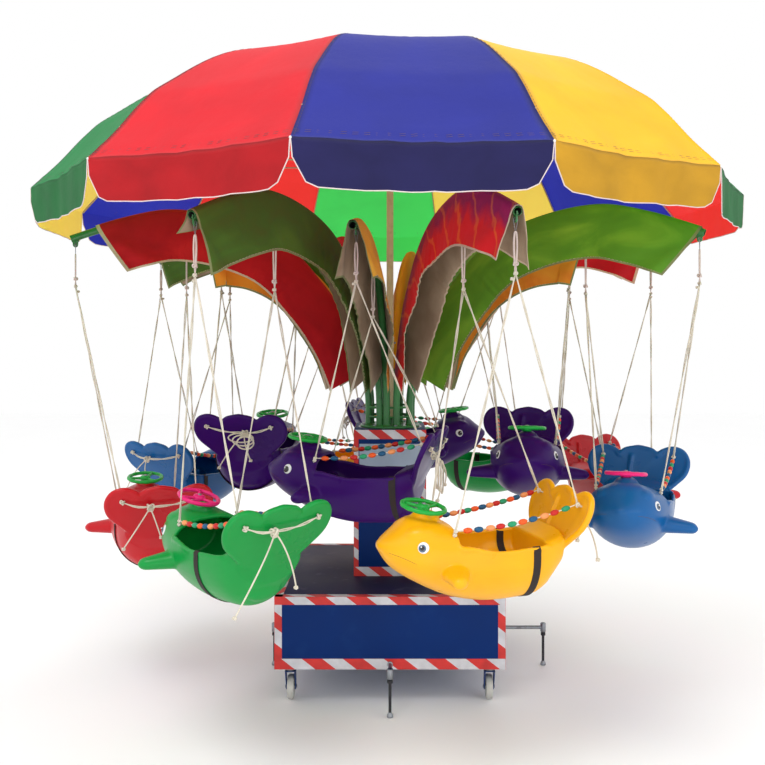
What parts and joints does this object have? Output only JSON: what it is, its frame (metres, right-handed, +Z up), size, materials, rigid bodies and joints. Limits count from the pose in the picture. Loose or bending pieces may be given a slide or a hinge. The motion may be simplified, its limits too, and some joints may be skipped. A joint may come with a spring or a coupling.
{
  "type": "chair swing ride",
  "caption": "Wheeled fairground swing ride: fish-shaped seats on ropes hang from arched, fabric-covered pipe arms round a turning column under a round umbrella.",
  "frame": {"origin": "on the column's axis at ground level", "axes": "+Z up along the column, -Y towards the camera side"},
  "size_m": [3.3364, 3.3364, 3.0345],
  "materials": {
    "base_panel": "satin navy enamel with red and grey hazard tape",
    "steel": "dull zinc plate",
    "caster_tyre": "pale grey moulded tyre",
    "arm_paint": "gloss green paint",
    "mast_paint": "cream paint",
    "canopy_fabric": "coated cloth in red, blue, yellow and green panels",
    "cover_red": "coated red cloth, tan inside",
    "cover_green": "coated green cloth, tan inside",
    "cover_yellow": "coated orange-yellow cloth, tan inside",
    "rope": "white braided rope",
    "plastic_yellow": "rotationally moulded, satin gloss",
    "plastic_blue": "rotationally moulded, satin gloss",
    "plastic_red": "rotationally moulded, satin gloss",
    "plastic_green": "rotationally moulded, satin gloss",
    "plastic_purple": "rotationally moulded, satin gloss"
  },
  "bodies": {
    "base": {"cabinet": "base_panel", "pedestal": "base_panel", "outrigger_front": "steel", "outrigger_right": "steel", "outrigger_back": "steel", "outrigger_left": "steel"},
    "rotor": {"column_flange": "arm_paint", "arm_group_1": "arm_paint", "arm_group_2": "arm_paint", "arm_group_3": "arm_paint", "arm_group_4": "arm_paint", "mast": "mast_paint", "umbrella_ribs": "mast_paint", "canopy_1": "canopy_fabric", "canopy_2": "canopy_fabric", "canopy_3": "canopy_fabric", "cover_outer_1": "cover_red", "cover_outer_2": "cover_green", "cover_outer_3": "cover_red", "cover_outer_4": "cover_green", "cover_outer_5": "cover_red", "cover_outer_6": "cover_green", "cover_outer_7": "cover_red", "cover_outer_8": "cover_green", "cover_inner_1": "cover_yellow", "cover_inner_2": "cover_yellow", "cover_inner_3": "cover_yellow", "cover_inner_4": "cover_yellow"},
    "swing_outer_1": {"seat_outer_1": "plastic_yellow", "ropes_outer_1": "rope"},
    "swing_outer_2": {"seat_outer_2": "plastic_blue", "ropes_outer_2": "rope"},
    "swing_outer_3": {"seat_outer_3": "plastic_red", "ropes_outer_3": "rope"},
    "swing_outer_4": {"seat_outer_4": "plastic_green", "ropes_outer_4": "rope"},
    "swing_outer_5": {"seat_outer_5": "plastic_yellow", "ropes_outer_5": "rope"},
    "swing_outer_6": {"seat_outer_6": "plastic_blue", "ropes_outer_6": "rope"},
    "swing_outer_7": {"seat_outer_7": "plastic_red", "ropes_outer_7": "rope"},
    "swing_outer_8": {"seat_outer_8": "plastic_green", "ropes_outer_8": "rope"},
    "swing_inner_1": {"seat_inner_1": "plastic_purple", "ropes_inner_1": "rope"},
    "swing_inner_2": {"seat_inner_2": "plastic_purple", "ropes_inner_2": "rope"},
    "swing_inner_3": {"seat_inner_3": "plastic_purple", "ropes_inner_3": "rope"},
    "swing_inner_4": {"seat_inner_4": "plastic_purple", "ropes_inner_4": "rope"},
    "caster_front_left": {"caster_fork_front_left": "steel"},
    "wheel_front_left": {"caster_wheel_front_left": "caster_tyre"},
    "caster_front_right": {"caster_fork_front_right": "steel"},
    "wheel_front_right": {"caster_wheel_front_right": "caster_tyre"},
    "caster_back_right": {"caster_fork_back_right": "steel"},
    "wheel_back_right": {"caster_wheel_back_right": "caster_tyre"},
    "caster_back_left": {"caster_fork_back_left": "steel"},
    "wheel_back_left": {"caster_wheel_back_left": "caster_tyre"}
  },
  "joints": [
    {"name": "rotor_spin", "type": "hinge", "parent": "base", "child": "rotor", "pos_m": [0, 0, 1.209], "axis": [0, 0, 1], "continuous": true},
    {"name": "swing_outer_1", "type": "hinge", "parent": "rotor", "child": "swing_outer_1", "pos_m": [0.44148, -1.44402, 2.07425], "axis": [0.2847, -0.9312, -0.2275], "range_deg": [-5, 5]},
    {"name": "swing_outer_2", "type": "hinge", "parent": "rotor", "child": "swing_outer_2", "pos_m": [1.33325, -0.7089, 2.07425], "axis": [0.8598, -0.4572, -0.2275], "range_deg": [-5, 5]},
    {"name": "swing_outer_3", "type": "hinge", "parent": "rotor", "child": "swing_outer_3", "pos_m": [1.44402, 0.44148, 2.07425], "axis": [0.9312, 0.2847, -0.2275], "range_deg": [-5, 5]},
    {"name": "swing_outer_4", "type": "hinge", "parent": "rotor", "child": "swing_outer_4", "pos_m": [0.7089, 1.33325, 2.07425], "axis": [0.4572, 0.8598, -0.2275], "range_deg": [-5, 5]},
    {"name": "swing_outer_5", "type": "hinge", "parent": "rotor", "child": "swing_outer_5", "pos_m": [-0.44148, 1.44402, 2.07425], "axis": [-0.2847, 0.9312, -0.2275], "range_deg": [-5, 5]},
    {"name": "swing_outer_6", "type": "hinge", "parent": "rotor", "child": "swing_outer_6", "pos_m": [-1.33325, 0.7089, 2.07425], "axis": [-0.8598, 0.4572, -0.2275], "range_deg": [-5, 5]},
    {"name": "swing_outer_7", "type": "hinge", "parent": "rotor", "child": "swing_outer_7", "pos_m": [-1.44402, -0.44148, 2.07425], "axis": [-0.9312, -0.2847, -0.2275], "range_deg": [-5, 5]},
    {"name": "swing_outer_8", "type": "hinge", "parent": "rotor", "child": "swing_outer_8", "pos_m": [-0.7089, -1.33325, 2.07425], "axis": [-0.4572, -0.8598, -0.2275], "range_deg": [-5, 5]},
    {"name": "swing_inner_1", "type": "hinge", "parent": "rotor", "child": "swing_inner_1", "pos_m": [-0.13923, -0.87904, 2.08736], "axis": [-0.1515, -0.9563, 0.2502], "range_deg": [-5, 5]},
    {"name": "swing_inner_2", "type": "hinge", "parent": "rotor", "child": "swing_inner_2", "pos_m": [0.87904, -0.13923, 2.08736], "axis": [0.9563, -0.1515, 0.2502], "range_deg": [-5, 5]},
    {"name": "swing_inner_3", "type": "hinge", "parent": "rotor", "child": "swing_inner_3", "pos_m": [0.13923, 0.87904, 2.08736], "axis": [0.1515, 0.9563, 0.2502], "range_deg": [-5, 5]},
    {"name": "swing_inner_4", "type": "hinge", "parent": "rotor", "child": "swing_inner_4", "pos_m": [-0.87904, 0.13923, 2.08736], "axis": [-0.9563, 0.1515, 0.2502], "range_deg": [-5, 5]},
    {"name": "swivel_front_left", "type": "hinge", "parent": "base", "child": "caster_front_left", "pos_m": [-0.455, -0.455, 0.1644], "axis": [0, 0, 1], "continuous": true},
    {"name": "roll_front_left", "type": "hinge", "parent": "caster_front_left", "child": "wheel_front_left", "pos_m": [-0.455, -0.427, 0.055], "axis": [1, 0, 0], "continuous": true},
    {"name": "swivel_front_right", "type": "hinge", "parent": "base", "child": "caster_front_right", "pos_m": [0.455, -0.455, 0.1644], "axis": [0, 0, 1], "continuous": true},
    {"name": "roll_front_right", "type": "hinge", "parent": "caster_front_right", "child": "wheel_front_right", "pos_m": [0.455, -0.427, 0.055], "axis": [1, 0, 0], "continuous": true},
    {"name": "swivel_back_right", "type": "hinge", "parent": "base", "child": "caster_back_right", "pos_m": [0.455, 0.455, 0.1644], "axis": [0, 0, 1], "continuous": true},
    {"name": "roll_back_right", "type": "hinge", "parent": "caster_back_right", "child": "wheel_back_right", "pos_m": [0.455, 0.483, 0.055], "axis": [1, 0, 0], "continuous": true},
    {"name": "swivel_back_left", "type": "hinge", "parent": "base", "child": "caster_back_left", "pos_m": [-0.455, 0.455, 0.1644], "axis": [0, 0, 1], "continuous": true},
    {"name": "roll_back_left", "type": "hinge", "parent": "caster_back_left", "child": "wheel_back_left", "pos_m": [-0.455, 0.483, 0.055], "axis": [1, 0, 0], "continuous": true}
  ]
}
